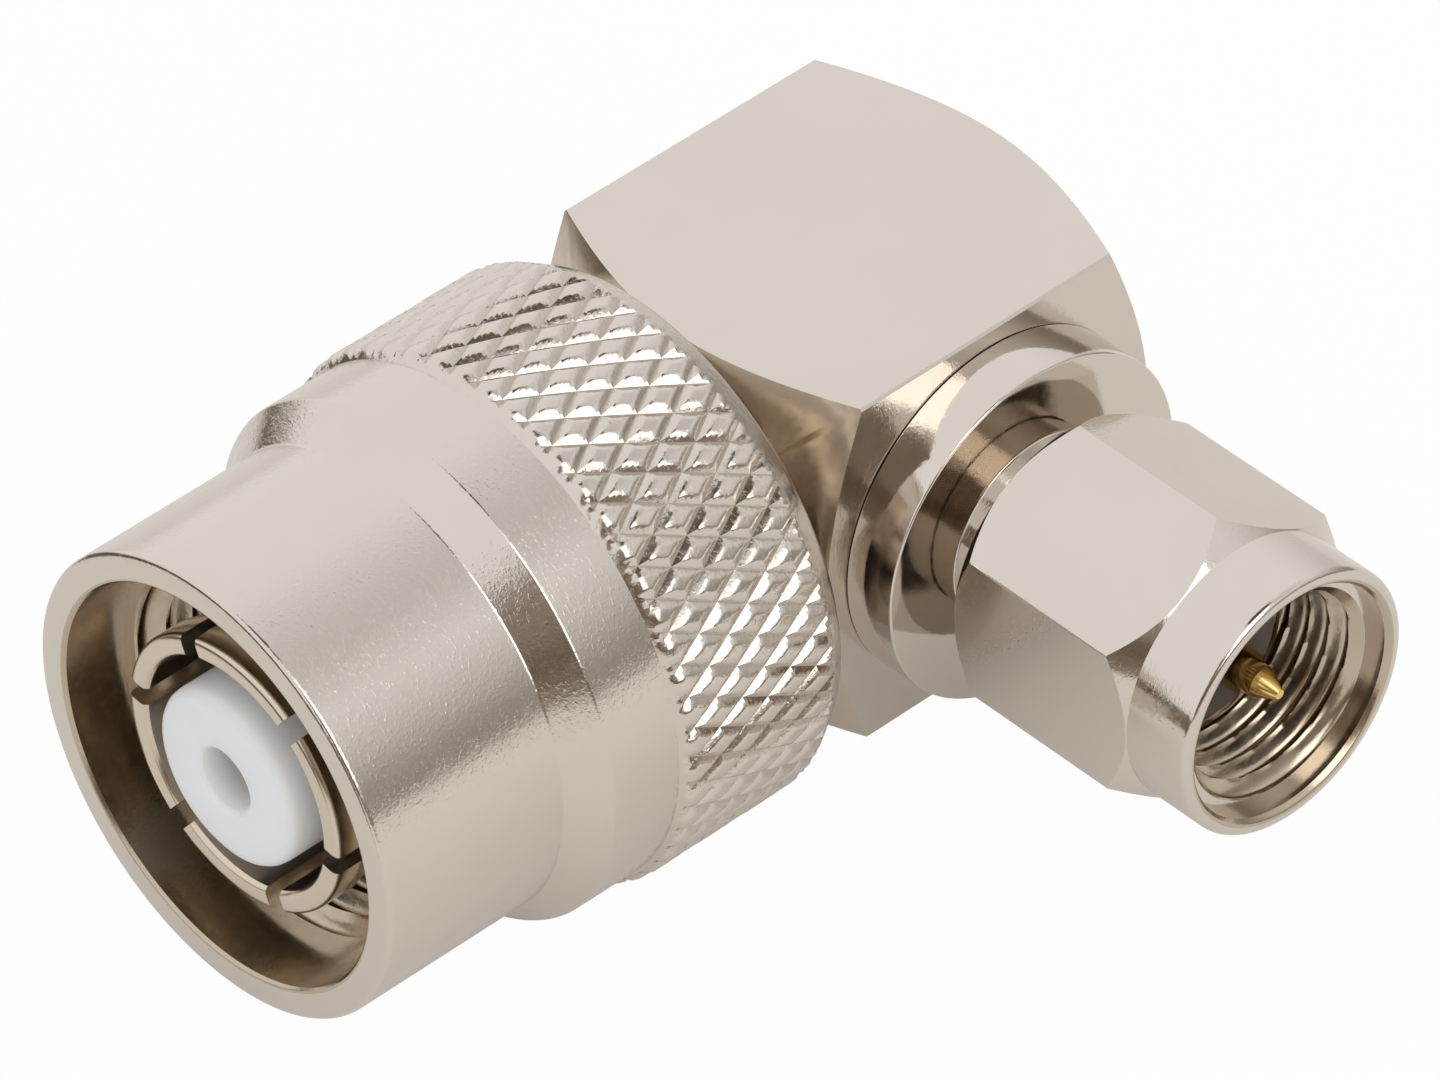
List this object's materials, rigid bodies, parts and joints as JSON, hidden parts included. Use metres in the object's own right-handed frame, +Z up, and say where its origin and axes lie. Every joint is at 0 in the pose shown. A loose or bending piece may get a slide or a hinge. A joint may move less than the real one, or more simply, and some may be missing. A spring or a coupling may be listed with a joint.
{
  "type": "coax adapter",
  "caption": "Right-angle coaxial adapter that joins a knurled TNC plug to a hexagon-nut SMA plug through a square turned body.",
  "frame": {"origin": "middle of the square body's underside, straight below the point where the axes of the two plugs cross", "axes": "+X out of the hexagon-nut SMA plug's mouth, -Y out of the knurled TNC plug's mouth, +Z up, square to both"},
  "size_m": [0.0252, 0.0282, 0.0159],
  "materials": {
    "nickel_satin": "satin nickel plate over turned brass",
    "nickel_polished": "bright nickel plate over turned brass",
    "contact_nickel": "bright nickel plate over spring copper alloy",
    "spring_bronze": "bare spring bronze",
    "gold_plate": "gold plate",
    "ptfe_white": "turned white fluoropolymer",
    "gasket_rubber": "moulded silicone rubber"
  },
  "bodies": {
    "adapter_body": {"body_block": "nickel_satin", "end_cap": "nickel_satin", "tnc_neck_sleeve": "nickel_polished", "tnc_outer_contact": "contact_nickel", "tnc_insulator": "ptfe_white", "tnc_center_socket": "gold_plate", "tnc_gasket": "gasket_rubber", "sma_flange_ferrule": "nickel_polished", "sma_insulator": "ptfe_white", "sma_center_pin": "gold_plate", "sma_gasket": "gasket_rubber"},
    "tnc_ring": {"tnc_snap_ring": "spring_bronze"},
    "tnc_nut": {"tnc_coupling_nut": "nickel_satin"},
    "sma_ring": {"sma_snap_ring": "spring_bronze"},
    "sma_nut": {"sma_coupling_nut": "nickel_satin"}
  },
  "joints": [
    {"name": "tnc_nut_float", "type": "slide", "parent": "adapter_body", "child": "tnc_ring", "axis": [0, -1, 0], "range_m": [0, 0.0004]},
    {"name": "tnc_nut_spin", "type": "hinge", "parent": "tnc_ring", "child": "tnc_nut", "pos_m": [0, 0, 0.00575], "axis": [0, -1, 0], "continuous": true},
    {"name": "sma_nut_float", "type": "slide", "parent": "adapter_body", "child": "sma_ring", "axis": [1, 0, 0], "range_m": [0, 0.00035]},
    {"name": "sma_nut_spin", "type": "hinge", "parent": "sma_ring", "child": "sma_nut", "pos_m": [0, 0, 0.00575], "axis": [1, 0, 0], "continuous": true}
  ]
}
